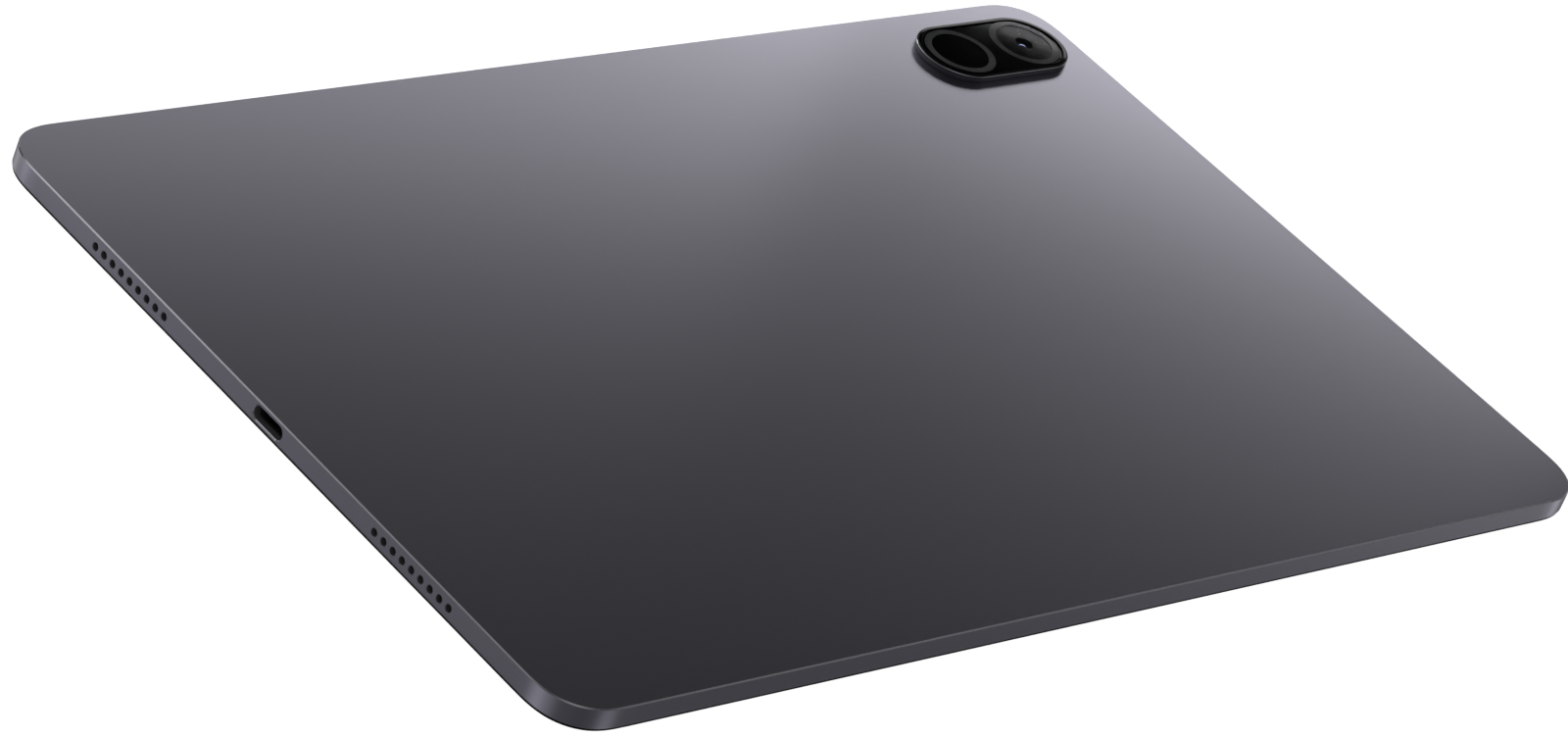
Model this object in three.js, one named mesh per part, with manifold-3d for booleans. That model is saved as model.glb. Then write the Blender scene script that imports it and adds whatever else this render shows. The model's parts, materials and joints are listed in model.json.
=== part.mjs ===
// A 12-inch-class tablet computer, screen down, as an assembly of separate pieces.
// Millimetres. +X runs along the long side, away from the charging port, +Y up the back, +Z out of the
// back. The origin is the middle of the screen face.
import * as THREE from "three";
import { mergeVertices } from "three/addons/utils/BufferGeometryUtils.js";
import Module from "manifold-3d";

const wasm = await Module();
wasm.setup();

// ---------------------------------------------------------------- driving dimensions
const LENGTH = 277.07;
const WIDTH = 179.28;
const THICKNESS = 6.29;
const CORNER_RADIUS = 11.5;
const HALF_LENGTH = LENGTH / 2;
const HALF_WIDTH = WIDTH / 2;
const GAP = 0.1; // clearance between pieces side by side
const STACK_GAP = 0.08; // clearance between flat layers

// metal shell
const SHELL_BOTTOM = 1.9;
const SHELL_WALL = 1.7;
const SHELL_BACK = 0.75;
const SHELL_CHAMFER = 0.3;
const CAVITY_TOP = THICKNESS - SHELL_BACK;
const PORT_HEIGHT = 3.95; // centre of the port, the speaker holes and the buttons

// front glass and the plastic frame round it
const GLASS_INSET = 1.2;
const GLASS_THICKNESS = 0.8;
const GLASS_EDGE_HEIGHT = 0.3;
const GLASS_EDGE_WIDTH = 0.5;
const BEZEL_INSET = 0.4;
const BEZEL_BOTTOM = 0.55;
const BEZEL_SHELF_INSET = 4.2;
const BEZEL_RIB_TOP = 2.45;
const BEZEL_RIB_WIDTH = 0.8;
const BEZEL_CHAMFER = 0.3;
const BEZEL_TOP = SHELL_BOTTOM - STACK_GAP;
const BEZEL_SHELF_BOTTOM = GLASS_THICKNESS + GAP;

// display stack
const PANEL = { length: 264, width: 166.2, corner: 2 };
const PANEL_THICKNESS = 0.6;
const LIGHT_GUIDE_THICKNESS = 0.5;
const BACK_PLATE_THICKNESS = 0.22;
const LED_BAR_WIDTH = 2.2;
const PANEL_BOTTOM = GLASS_THICKNESS + STACK_GAP;
const LIGHT_GUIDE_BOTTOM = PANEL_BOTTOM + PANEL_THICKNESS + STACK_GAP;
const BACK_PLATE_BOTTOM = LIGHT_GUIDE_BOTTOM + LIGHT_GUIDE_THICKNESS + STACK_GAP;
const FRONT_CAMERA = { y: 85.5, length: 6, width: 3.9, top: 4 };

// camera island
const ISLAND = { x: 113.2, y: 73.3, length: 39.4, width: 19, height: 1.65, chamfer: 0.4 };
const ISLAND_GLASS = { length: 36.8, width: 16.4, thickness: 0.35, recess: 0.17 };
const ISLAND_BORE = { length: 31, width: 10.6 };
const ISLAND_WALL = 1; // spigot wall
const ISLAND_FIT = 0.3;
const ISLAND_SEAT_DEPTH = 1; // from the lip down to the ledge that holds the glass
const RING = { spacing: 19.4, y: 73.45, inner: 6.4, outer: 8, thickness: 0.1 };
const LENS_WINDOW_RADIUS = 2.3;
const ISLAND_TOP = THICKNESS + ISLAND.height;
const ISLAND_SEAT = ISLAND_TOP - ISLAND_SEAT_DEPTH;
const ISLAND_BOTTOM = THICKNESS + 0.06;

// speaker grilles
const GRILLE = { holes: 9, pitch: 2.775, radius: 0.8, centre: 43.9 };
const SPEAKER = { depth: 16, width: 28, bottom: 2.6, top: 5.3, nozzle: 1.9 };

const MICROPHONE = { x: -30, hole: 0.5, length: 3.5, width: 2.6, height: 1.1 };

// charging port
const PORT_HOLE = { width: 8.6, height: 2.8 };
const PORT_MOUTH = { width: 8.34, height: 2.56 };
const PORT_SHELL_WALL = 0.2;
const PORT_SHELL_LENGTH = 6.5;
const TONGUE = { width: 6.69, thickness: 0.7, length: 4.4, recess: 0.75 };

// buttons
const POWER = { y: 70, length: 13, slot: 13.6, flange: 14.6 };
const VOLUME = { x: 101, length: 21.6, slot: 22.4, flange: 24, switchSpacing: 14 };
const BUTTON = { height: 1.7, slotHeight: 2.1, flangeHeight: 2.5, flange: 0.5, proud: 0.35, nub: 0.35 };
const BUTTON_SWITCH = { length: 3.6, height: 2.2, depth: 0.8 };
const SWITCH_CLEARANCE = 0.45;

// boards
const MAIN_BOARD = { x: 13, y: 66, length: 150, width: 32, bottom: 3.3, top: 4 };
const USB_BOARD = { x: -127, y: 0, length: 18, width: 40, bottom: 3.6, top: 4.3 };
const SCREW = { head: 1.1, headHeight: 0.35, shank: 0.5, length: 1.7, hole: 0.8, boss: 1.8 };
const MAIN_SCREWS = [[-58, 54], [-58, 78], [84, 54], [84, 78]];
const USB_SCREWS = [[-122, -16], [-122, 16]];

// battery
const CELL = { length: 110, width: 127, bottom: 2.55, top: 5.25, gap: 6, y: -18, edge: 0.6 };

// ---------------------------------------------------------------- materials
function material(color, roughness, metalness) {
  return new THREE.MeshStandardMaterial({ color, roughness, metalness });
}

const satinGrey = material(0x5c5b62, 0.4, 1);
const darkMetal = material(0x2a2b2e, 0.4, 1);
const blackPlastic = material(0x0c0c0e, 0.5, 0);
const frontGlass = material(0x050506, 0.08, 0);
const islandGlass = material(0x0a0a0c, 0.05, 0);
const ringGrey = material(0x3c3c3f, 0.45, 1);
const panelBlack = material(0x101014, 0.2, 0);
const acrylic = material(0xe6ebee, 0.2, 0);
const steel = material(0x9a9ca0, 0.35, 1);
const brass = material(0xc9a24b, 0.35, 1);
const circuitGreen = material(0x0f3d2c, 0.5, 0);
const flexOrange = material(0xa9661f, 0.5, 0);
const cellFoil = material(0x2b2d31, 0.35, 1);
const graphite = material(0x202124, 0.6, 0);
const magnetNickel = material(0xb4b6ba, 0.25, 1);
const lensGlass = material(0x101426, 0.05, 0);

// ---------------------------------------------------------------- outlines
function roundedRect(length, width, radius) {
  const x = length / 2 - radius;
  const y = width / 2 - radius;
  const shape = new THREE.Shape();
  shape.absarc(x, y, radius, 0, Math.PI / 2);
  shape.absarc(-x, y, radius, Math.PI / 2, Math.PI);
  shape.absarc(-x, -y, radius, Math.PI, 1.5 * Math.PI);
  shape.absarc(x, -y, radius, 1.5 * Math.PI, 2 * Math.PI);
  return shape;
}

function pill(length, width) {
  const radius = width / 2;
  const x = length / 2 - radius;
  const shape = new THREE.Shape();
  shape.absarc(x, 0, radius, -Math.PI / 2, Math.PI / 2);
  shape.absarc(-x, 0, radius, Math.PI / 2, 1.5 * Math.PI);
  return shape;
}

function circle(radius) {
  const shape = new THREE.Shape();
  shape.absarc(0, 0, radius, 0, 2 * Math.PI);
  return shape;
}

function withHole(shape, hole) {
  shape.holes.push(hole);
  return shape;
}

// the tablet's outline, moved in by the same amount all round
function bodyOutline(inset) {
  return roundedRect(LENGTH - 2 * inset, WIDTH - 2 * inset, CORNER_RADIUS - inset);
}

// ---------------------------------------------------------------- solids
// an arc gets twice curveSegments points
function slab(shape, bottom, top, curveSegments = 5) {
  const options = { depth: top - bottom, bevelEnabled: false, curveSegments };
  return new THREE.ExtrudeGeometry(shape, options).translate(0, 0, bottom);
}

function chamferedSlab(shape, bottom, top, chamfer, chamferHeight = chamfer, curveSegments = 5) {
  const options = {
    depth: top - bottom - 2 * chamferHeight,
    bevelThickness: chamferHeight,
    bevelSize: chamfer,
    bevelOffset: -chamfer,
    bevelSegments: 1,
    curveSegments,
  };
  return new THREE.ExtrudeGeometry(shape, options).translate(0, 0, bottom + chamferHeight);
}

function block(length, width, bottom, top) {
  return new THREE.BoxGeometry(length, width, top - bottom).translate(0, 0, (bottom + top) / 2);
}

// a shape's width along Y and its height along Z, extruded from one X to another
function alongX(shape, from, to, curveSegments = 4) {
  const geometry = slab(shape, 0, to - from, curveSegments);
  return geometry.rotateZ(Math.PI / 2).rotateY(Math.PI / 2).translate(from, 0, 0);
}

// a shape's width along X and its height along Z, extruded from one Y to another
function alongY(shape, from, to, curveSegments = 4) {
  const geometry = slab(shape, 0, to - from, curveSegments);
  return geometry.rotateX(Math.PI / 2).translate(0, to, 0);
}

function post(radius, bottom, top, sides = 8) {
  const geometry = new THREE.CylinderGeometry(radius, radius, top - bottom, sides);
  return geometry.rotateX(Math.PI / 2).translate(0, 0, (bottom + top) / 2);
}

function toSolid(geometry) {
  const bare = geometry.clone();
  bare.deleteAttribute("normal");
  bare.deleteAttribute("uv");
  const merged = mergeVertices(bare);
  const mesh = new wasm.Mesh({
    numProp: 3,
    vertProperties: new Float32Array(merged.attributes.position.array),
    triVerts: new Uint32Array(merged.index.array),
  });
  return new wasm.Manifold(mesh);
}

function toGeometry(solid) {
  const mesh = solid.getMesh();
  const geometry = new THREE.BufferGeometry();
  geometry.setAttribute("position", new THREE.BufferAttribute(mesh.vertProperties, 3));
  geometry.setIndex(new THREE.BufferAttribute(mesh.triVerts, 1));
  geometry.computeVertexNormals();
  return geometry;
}

function join(first, ...others) {
  return toGeometry(others.reduce((sum, piece) => sum.add(toSolid(piece)), toSolid(first)));
}

function cut(body, ...tools) {
  return toGeometry(tools.reduce((rest, tool) => rest.subtract(toSolid(tool)), toSolid(body)));
}

// ---------------------------------------------------------------- placing
const tablet = new THREE.Group();

function place(parent, name, geometry, surface, x = 0, y = 0, z = 0) {
  const mesh = new THREE.Mesh(geometry, surface);
  mesh.name = name;
  mesh.position.set(x, y, z);
  parent.add(mesh);
}

function group(x = 0, y = 0, z = 0) {
  const holder = new THREE.Group();
  holder.position.set(x, y, z);
  tablet.add(holder);
  return holder;
}

// ---------------------------------------------------------------- metal shell
function grilleHoles(wallFrom, wallTo) {
  const holes = [];
  for (const side of [-1, 1]) {
    for (let i = 0; i < GRILLE.holes; i += 1) {
      const y = side * GRILLE.centre + (i - (GRILLE.holes - 1) / 2) * GRILLE.pitch;
      const hole = alongX(circle(GRILLE.radius), wallFrom, wallTo, 5);
      holes.push(hole.translate(0, y, PORT_HEIGHT));
    }
  }
  return holes;
}

function shellWallCuts() {
  const reach = SHELL_WALL + 1;
  const left = [-HALF_LENGTH - 1, -HALF_LENGTH + reach];
  const right = [HALF_LENGTH - reach, HALF_LENGTH + 1];
  const top = [HALF_WIDTH - reach, HALF_WIDTH + 1];
  const port = alongX(pill(PORT_HOLE.width, PORT_HOLE.height), ...left);
  const powerSlot = alongX(pill(POWER.slot, BUTTON.slotHeight), ...right);
  const volumeSlot = alongY(pill(VOLUME.slot, BUTTON.slotHeight), ...top);
  const microphoneHole = alongY(circle(MICROPHONE.hole), ...top);
  return [
    ...grilleHoles(...left),
    ...grilleHoles(...right),
    port.translate(0, 0, PORT_HEIGHT),
    powerSlot.translate(0, POWER.y, PORT_HEIGHT),
    volumeSlot.translate(VOLUME.x, 0, PORT_HEIGHT),
    microphoneHole.translate(MICROPHONE.x, 0, PORT_HEIGHT),
  ];
}

function screwBosses() {
  const bosses = [];
  const bores = [];
  const rows = [[MAIN_SCREWS, MAIN_BOARD.top], [USB_SCREWS, USB_BOARD.top]];
  for (const [screws, boardTop] of rows) {
    for (const [x, y] of screws) {
      bosses.push(post(SCREW.boss, boardTop + GAP, CAVITY_TOP + GAP).translate(x, y, 0));
      bores.push(post(SCREW.hole, boardTop - GAP, CAVITY_TOP - GAP).translate(x, y, 0));
    }
  }
  return { bosses, bores };
}

function rearCover() {
  const blank = chamferedSlab(bodyOutline(0), SHELL_BOTTOM, THICKNESS, SHELL_CHAMFER);
  const cavity = slab(bodyOutline(SHELL_WALL), SHELL_BOTTOM - 1, CAVITY_TOP);
  const cameraCut = slab(spigotOutline(ISLAND_FIT), CAVITY_TOP - 1, THICKNESS + 1);
  cameraCut.translate(ISLAND.x, ISLAND.y, 0);
  const { bosses, bores } = screwBosses();
  const tray = join(cut(blank, cavity, cameraCut), ...bosses);
  return cut(tray, ...bores, ...shellWallCuts());
}

// ---------------------------------------------------------------- front glass, bezel, display
function bezelFrame() {
  const frame = chamferedSlab(bodyOutline(BEZEL_INSET), BEZEL_BOTTOM, BEZEL_TOP, BEZEL_CHAMFER);
  const ribInset = SHELL_WALL + GAP;
  const ribOutline = withHole(bodyOutline(ribInset), bodyOutline(ribInset + BEZEL_RIB_WIDTH));
  const rib = slab(ribOutline, BEZEL_TOP - 2 * BEZEL_CHAMFER, BEZEL_RIB_TOP);
  const glassSeat = slab(bodyOutline(GLASS_INSET - STACK_GAP), 0, BEZEL_SHELF_BOTTOM);
  const displayOpening = slab(bodyOutline(BEZEL_SHELF_INSET), 0, BEZEL_RIB_TOP + 1);
  const notchDepth = HALF_WIDTH - SHELL_WALL - FRONT_CAMERA.y + FRONT_CAMERA.width;
  const cameraNotch = block(FRONT_CAMERA.length + 0.8, notchDepth, 0, BEZEL_RIB_TOP + 1);
  cameraNotch.translate(0, HALF_WIDTH - SHELL_WALL - notchDepth / 2, 0);
  return cut(join(frame, rib), glassSeat, displayOpening, cameraNotch);
}

function coverGlass() {
  const outline = bodyOutline(GLASS_INSET);
  return chamferedSlab(outline, 0, GLASS_THICKNESS, GLASS_EDGE_WIDTH, GLASS_EDGE_HEIGHT);
}

function buildFront() {
  const sheet = roundedRect(PANEL.length, PANEL.width, PANEL.corner);
  const guideWidth = PANEL.width - LED_BAR_WIDTH - 0.8;
  const guideTop = LIGHT_GUIDE_BOTTOM + LIGHT_GUIDE_THICKNESS;
  const barY = -(PANEL.width - LED_BAR_WIDTH) / 2;
  const guide = block(PANEL.length - 1, guideWidth, LIGHT_GUIDE_BOTTOM, guideTop);
  const bar = block(PANEL.length - 60, LED_BAR_WIDTH, LIGHT_GUIDE_BOTTOM, guideTop);
  place(tablet, "rear_cover", rearCover(), satinGrey);
  place(tablet, "bezel_frame", bezelFrame(), blackPlastic);
  place(tablet, "cover_glass", coverGlass(), frontGlass);
  place(tablet, "display_panel", slab(sheet, 0, PANEL_THICKNESS, 2), panelBlack, 0, 0, PANEL_BOTTOM);
  place(tablet, "light_guide", guide, acrylic, 0, (PANEL.width - guideWidth) / 2, 0);
  place(tablet, "backlight_bar", bar, acrylic, 0, barY, 0);
  const backPlate = slab(sheet, 0, BACK_PLATE_THICKNESS, 2);
  place(tablet, "display_back_plate", backPlate, steel, 0, 0, BACK_PLATE_BOTTOM);
  const cameraOutline = roundedRect(FRONT_CAMERA.length, FRONT_CAMERA.width, 0.6);
  const camera = chamferedSlab(cameraOutline, PANEL_BOTTOM, FRONT_CAMERA.top, 0.3, 0.3, 2);
  place(tablet, "front_camera_module", camera, darkMetal, 0, FRONT_CAMERA.y, 0);
}

// ---------------------------------------------------------------- camera island
function spigotOutline(clearance) {
  const growth = 2 * (ISLAND_WALL + clearance);
  return pill(ISLAND_BORE.length + growth, ISLAND_BORE.width + growth);
}

function islandFrame() {
  const outline = pill(ISLAND.length, ISLAND.width);
  const ring = chamferedSlab(outline, ISLAND_BOTTOM - 1, ISLAND_TOP, ISLAND.chamfer);
  const spigot = slab(spigotOutline(0), CAVITY_TOP + GAP, ISLAND_BOTTOM + GAP);
  const below = block(2 * ISLAND.length, 2 * ISLAND.width, ISLAND_BOTTOM - 2, ISLAND_BOTTOM);
  const bore = slab(pill(ISLAND_BORE.length, ISLAND_BORE.width), CAVITY_TOP - 1, ISLAND_TOP);
  const seatOutline = pill(ISLAND_GLASS.length + 2 * GAP, ISLAND_GLASS.width + 2 * GAP);
  const seat = slab(seatOutline, ISLAND_SEAT, ISLAND_TOP + 1);
  return cut(join(cut(ring, below), spigot), bore, seat);
}

function decoPlate(bottom, top) {
  const outline = pill(ISLAND_GLASS.length, ISLAND_GLASS.width);
  const lensHole = new THREE.Path();
  lensHole.absarc(RING.spacing / 2, RING.y - ISLAND.y, LENS_WINDOW_RADIUS, 0, 2 * Math.PI);
  return slab(withHole(outline, lensHole), bottom, top);
}

function lensBarrel() {
  const profile = [[0, 5.35], [3.7, 5.35], [3.7, 6.85], [2.6, 6.85], [2.2, 6.5], [2.2, 6], [0, 6]];
  const points = profile.map(([radius, z]) => new THREE.Vector2(radius, z));
  return new THREE.LatheGeometry(points, 12).rotateX(Math.PI / 2);
}

function lensElement() {
  const radius = 1.9;
  const bottom = 6.1;
  const rim = 6.35;
  const crown = 0.3;
  const points = [new THREE.Vector2(0, bottom), new THREE.Vector2(radius, bottom)];
  const steps = 3;
  for (let i = 0; i <= steps; i += 1) {
    const turn = (i / steps) * (Math.PI / 2);
    points.push(new THREE.Vector2(radius * Math.cos(turn), rim + crown * Math.sin(turn)));
  }
  return new THREE.LatheGeometry(points, 12).rotateX(Math.PI / 2);
}

function buildCameraIsland() {
  const glassTop = ISLAND_TOP - ISLAND_GLASS.recess;
  const glassBottom = glassTop - ISLAND_GLASS.thickness;
  const ringTop = glassBottom - 0.05;
  const ringBottom = ringTop - RING.thickness;
  const glassOutline = pill(ISLAND_GLASS.length, ISLAND_GLASS.width);
  const ring = slab(withHole(circle(RING.outer), circle(RING.inner)), ringBottom, ringTop, 12);
  const island = group(ISLAND.x, ISLAND.y);
  const ringY = RING.y - ISLAND.y;
  const ringX = RING.spacing / 2;
  place(island, "camera_island_frame", islandFrame(), blackPlastic);
  place(island, "camera_deco_plate", decoPlate(ISLAND_SEAT + 0.05, ringBottom - 0.05), panelBlack);
  place(island, "camera_ring_blank", ring, ringGrey, -ringX, ringY);
  place(island, "camera_ring_lens", ring.clone(), ringGrey, ringX, ringY);
  const glass = chamferedSlab(glassOutline, glassBottom, glassTop, 0.1);
  place(island, "camera_cover_glass", glass, islandGlass);
  place(island, "rear_camera_module", block(9.6, 9.6, 2.6, 5.25), darkMetal, ringX, ringY);
  place(island, "rear_camera_barrel", lensBarrel(), blackPlastic, ringX, ringY);
  place(island, "rear_camera_lens", lensElement(), lensGlass, ringX, ringY);
}

// ---------------------------------------------------------------- charging port and its board
function boardWithHoles(outline, board, screws) {
  for (const [x, y] of screws) {
    const hole = new THREE.Path();
    hole.absarc(x - board.x, y - board.y, SCREW.hole, 0, 2 * Math.PI);
    outline.holes.push(hole);
  }
  return slab(outline, board.bottom, board.top, 3);
}

function usbBoardOutline() {
  const x = USB_BOARD.length / 2;
  const y = USB_BOARD.width / 2;
  const notchX = -x + PORT_SHELL_LENGTH - 0.4;
  const notchY = PORT_MOUTH.width / 2 + 0.7;
  const shape = new THREE.Shape();
  shape.moveTo(-x, -y);
  shape.lineTo(x, -y);
  shape.lineTo(x, y);
  shape.lineTo(-x, y);
  shape.lineTo(-x, notchY);
  shape.lineTo(notchX, notchY);
  shape.lineTo(notchX, -notchY);
  shape.lineTo(-x, -notchY);
  shape.closePath();
  return shape;
}

function portShell(from, to) {
  const wall = 2 * PORT_SHELL_WALL;
  const outer = pill(PORT_MOUTH.width + wall, PORT_MOUTH.height + wall);
  return alongX(withHole(outer, pill(PORT_MOUTH.width, PORT_MOUTH.height)), from, to);
}

function portTongue(tip, back) {
  const root = tip + TONGUE.length;
  const plate = new THREE.BoxGeometry(TONGUE.length + 0.2, TONGUE.width, TONGUE.thickness);
  const base = alongX(pill(PORT_MOUTH.width - 0.3, PORT_MOUTH.height - 0.3), root, back);
  return join(plate.translate(tip + TONGUE.length / 2 + 0.1, 0, 0), base);
}

function buildPort() {
  const mouth = -HALF_LENGTH + SHELL_WALL + 0.2;
  const back = mouth + PORT_SHELL_LENGTH;
  const board = boardWithHoles(usbBoardOutline(), USB_BOARD, USB_SCREWS);
  place(tablet, "usb_board", board, circuitGreen, USB_BOARD.x, USB_BOARD.y, 0);
  place(tablet, "usb_c_shell", portShell(mouth, back), steel, 0, 0, PORT_HEIGHT);
  place(tablet, "usb_c_tongue", portTongue(mouth + TONGUE.recess, back), blackPlastic, 0, 0, PORT_HEIGHT);
}

// ---------------------------------------------------------------- main board, battery, small parts
function shieldCan(length, width, bottom, top) {
  const wall = 0.4;
  const can = chamferedSlab(roundedRect(length, width, 0.8), bottom, top, 0.2, 0.2, 1);
  return cut(can, block(length - wall, width - wall, bottom - 1, top - wall / 2));
}

function screwGeometry() {
  const { head, headHeight, shank, length } = SCREW;
  const tip = headHeight + length;
  const profile = [
    [0, 0], [head * 0.8, 0], [head, headHeight * 0.4], [head, headHeight],
    [shank, headHeight], [shank, tip - 0.2], [shank * 0.6, tip], [0, tip],
  ];
  const points = profile.map(([radius, z]) => new THREE.Vector2(radius, z));
  return new THREE.LatheGeometry(points, 10).rotateX(Math.PI / 2);
}

function placeScrews(prefix, screws, board) {
  screws.forEach(([x, y], i) => {
    const z = board.bottom - GAP - SCREW.headHeight;
    place(tablet, `${prefix}_${i + 1}`, screwGeometry(), steel, x, y, z);
  });
}

function buildMainBoard() {
  const outline = roundedRect(MAIN_BOARD.length, MAIN_BOARD.width, 1.5);
  const board = boardWithHoles(outline, MAIN_BOARD, MAIN_SCREWS);
  const shieldBottom = MAIN_BOARD.top + 0.08;
  const shieldTop = 5.2;
  const shields = [
    ["processor_shield", 10, 34, 26],
    ["memory_shield", -24, 20, 26],
    ["power_shield", 44, 26, 26],
    ["radio_shield", 70, 18, 22],
  ];
  place(tablet, "main_board", board, circuitGreen, MAIN_BOARD.x, MAIN_BOARD.y, 0);
  for (const [name, x, length, width] of shields) {
    place(tablet, name, shieldCan(length, width, shieldBottom, shieldTop), steel, x, MAIN_BOARD.y, 0);
  }
  placeScrews("main_board_screw", MAIN_SCREWS, MAIN_BOARD);
  placeScrews("usb_board_screw", USB_SCREWS, USB_BOARD);
  place(tablet, "graphite_sheet", block(132, 28, 5.32, 5.42), graphite, 14, MAIN_BOARD.y, 0);
  place(tablet, "display_driver_board", block(100, 8, 2.44, 2.84), circuitGreen, 0, 76, 0);
  place(tablet, "display_flex", block(18, 11.4, 2.5, 2.62), flexOrange, 9, 66, 0);
}

function buildBattery() {
  const outline = roundedRect(CELL.length, CELL.width, 3);
  const cell = chamferedSlab(outline, CELL.bottom, CELL.top, CELL.edge, CELL.edge, 2);
  const x = (CELL.length + CELL.gap) / 2;
  place(tablet, "battery_cell_left", cell, cellFoil, -x, CELL.y, 0);
  place(tablet, "battery_cell_right", cell.clone(), cellFoil, x, CELL.y, 0);
  place(tablet, "battery_protection_board", block(72, 2.8, 3.2, 4), circuitGreen, -16, 47.7, 0);
  place(tablet, "battery_lead", block(8, 10.4, 4.1, 4.22), flexOrange, -46, 51.8, 0);
}

function linkFlex() {
  const width = 3.4;
  const shape = new THREE.Shape();
  shape.moveTo(0, 0);
  shape.lineTo(width, 0);
  shape.lineTo(width, 41.6);
  shape.lineTo(55, 41.6);
  shape.lineTo(55, 41.6 + width);
  shape.lineTo(0, 41.6 + width);
  shape.closePath();
  return slab(shape, 3.7, 3.84);
}

function buildSmallParts() {
  const microphoneY = HALF_WIDTH - SHELL_WALL - 0.3 - MICROPHONE.width / 2;
  const microphone = block(MICROPHONE.length, MICROPHONE.width, PORT_HEIGHT - 0.55, PORT_HEIGHT + 0.55);
  place(tablet, "board_link_flex", linkFlex(), flexOrange, -117.6, 8, 0);
  place(tablet, "top_microphone", microphone, steel, MICROPHONE.x, microphoneY, 0);
  place(tablet, "antenna_left", block(34, 3.6, 2.6, 3), brass, -95, 85, 0);
  place(tablet, "antenna_right", block(34, 3.6, 2.6, 3), brass, 60, 85, 0);
  place(tablet, "hall_sensor", block(2.8, 1.6, 3, 3.9), blackPlastic, 0, -85, 0);
  for (const [name, x] of [["cover_magnet_left", -70], ["cover_magnet_right", 70]]) {
    place(tablet, name, block(22, 3, 3, 4.4), magnetNickel, x, -84.8, 0);
  }
}

// ---------------------------------------------------------------- speakers
function speakerBox() {
  const height = SPEAKER.top - SPEAKER.bottom;
  const body = chamferedSlab(roundedRect(SPEAKER.depth, SPEAKER.width, 1.5), 0, height, 0.3, 0.3, 1);
  const nozzle = block(SPEAKER.nozzle + 1, SPEAKER.width - 3, 0.25, height - 0.25);
  return join(body, nozzle.translate(-(SPEAKER.depth + SPEAKER.nozzle - 1) / 2, 0, 0));
}

function buildSpeakers() {
  const meshThickness = 0.24;
  const meshX = HALF_LENGTH - SHELL_WALL - GAP - meshThickness / 2;
  const bodyX = meshX - meshThickness / 2 - GAP - SPEAKER.nozzle - SPEAKER.depth / 2;
  const meshPlate = new THREE.BoxGeometry(meshThickness, SPEAKER.width - 3.2, 2.3);
  for (const [sideName, side] of [["port_side", -1], ["far_side", 1]]) {
    for (const [endName, end] of [["upper", 1], ["lower", -1]]) {
      const y = end * GRILLE.centre;
      const box = speakerBox();
      if (side > 0) {
        box.rotateZ(Math.PI);
      }
      const corner = `${sideName}_${endName}`;
      place(tablet, `speaker_${corner}`, box, blackPlastic, side * bodyX, y, SPEAKER.bottom);
      place(tablet, `speaker_mesh_${corner}`, meshPlate.clone(), steel, side * meshX, y, PORT_HEIGHT);
    }
  }
}

// ---------------------------------------------------------------- buttons
// the button's own frame: X along its length, Y out through the wall, 0 at the wall's outer face
function buttonGeometry(length, flangeLength, flangeBack, nubOffsets) {
  const flangeFront = flangeBack + BUTTON.flange;
  const cap = alongY(pill(length, BUTTON.height), flangeFront - 0.1, BUTTON.proud);
  const flange = alongY(pill(flangeLength, BUTTON.flangeHeight), flangeBack, flangeFront);
  const nubs = nubOffsets.map((x) => {
    const nub = new THREE.BoxGeometry(2.2, BUTTON.nub + 0.1, 1.4);
    return nub.translate(x, flangeBack - BUTTON.nub / 2 + 0.05, 0);
  });
  return join(cap, flange, ...nubs);
}

function switchBody() {
  return new THREE.BoxGeometry(BUTTON_SWITCH.length, BUTTON_SWITCH.depth, BUTTON_SWITCH.height);
}

function buildPowerButton() {
  const flangeBack = -SHELL_WALL - 0.1 - BUTTON.flange;
  const switchFront = flangeBack - BUTTON.nub - SWITCH_CLEARANCE;
  const plateFront = switchFront - BUTTON_SWITCH.depth - GAP;
  const side = group(HALF_LENGTH, POWER.y, PORT_HEIGHT);
  side.rotation.z = -Math.PI / 2;
  const plate = new THREE.BoxGeometry(POWER.length + 1, 0.4, 2.6);
  place(side, "power_button", buttonGeometry(POWER.length, POWER.flange, flangeBack, [0]), satinGrey);
  place(side, "power_switch", switchBody(), steel, 0, switchFront - BUTTON_SWITCH.depth / 2, 0);
  place(side, "power_switch_bracket", plate, steel, 0, plateFront - 0.2, 0);
}

function buildVolumeRocker() {
  const rock = 0.35; // room for the end that lifts
  const flangeBack = -SHELL_WALL - rock - BUTTON.flange;
  const switchFront = flangeBack - BUTTON.nub - SWITCH_CLEARANCE;
  const boardFront = switchFront - BUTTON_SWITCH.depth - GAP;
  const offset = VOLUME.switchSpacing / 2;
  const side = group(VOLUME.x, HALF_WIDTH, PORT_HEIGHT);
  const rocker = buttonGeometry(VOLUME.length, VOLUME.flange, flangeBack, [-offset, offset]);
  const board = new THREE.BoxGeometry(VOLUME.flange, 0.4, 2.6);
  const switchY = switchFront - BUTTON_SWITCH.depth / 2;
  place(side, "volume_rocker", rocker, satinGrey);
  place(side, "volume_switch_up", switchBody(), steel, offset, switchY, 0);
  place(side, "volume_switch_down", switchBody(), steel, -offset, switchY, 0);
  place(side, "volume_switch_board", board, circuitGreen, 0, boardFront - 0.2, 0);
}

buildFront();
buildCameraIsland();
buildPort();
buildMainBoard();
buildBattery();
buildSmallParts();
buildSpeakers();
buildPowerButton();
buildVolumeRocker();

export default tablet;
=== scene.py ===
"""A 12-inch-class tablet computer lying screen down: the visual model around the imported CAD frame.

Shapes are built in millimetres, in the frame's own axes, and scaled to metres at the end. +X runs
along the long side away from the charging port, +Y up the back, +Z out of the back.
"""
import json
import math

import bmesh
import bpy
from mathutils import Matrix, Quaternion, Vector


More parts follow.
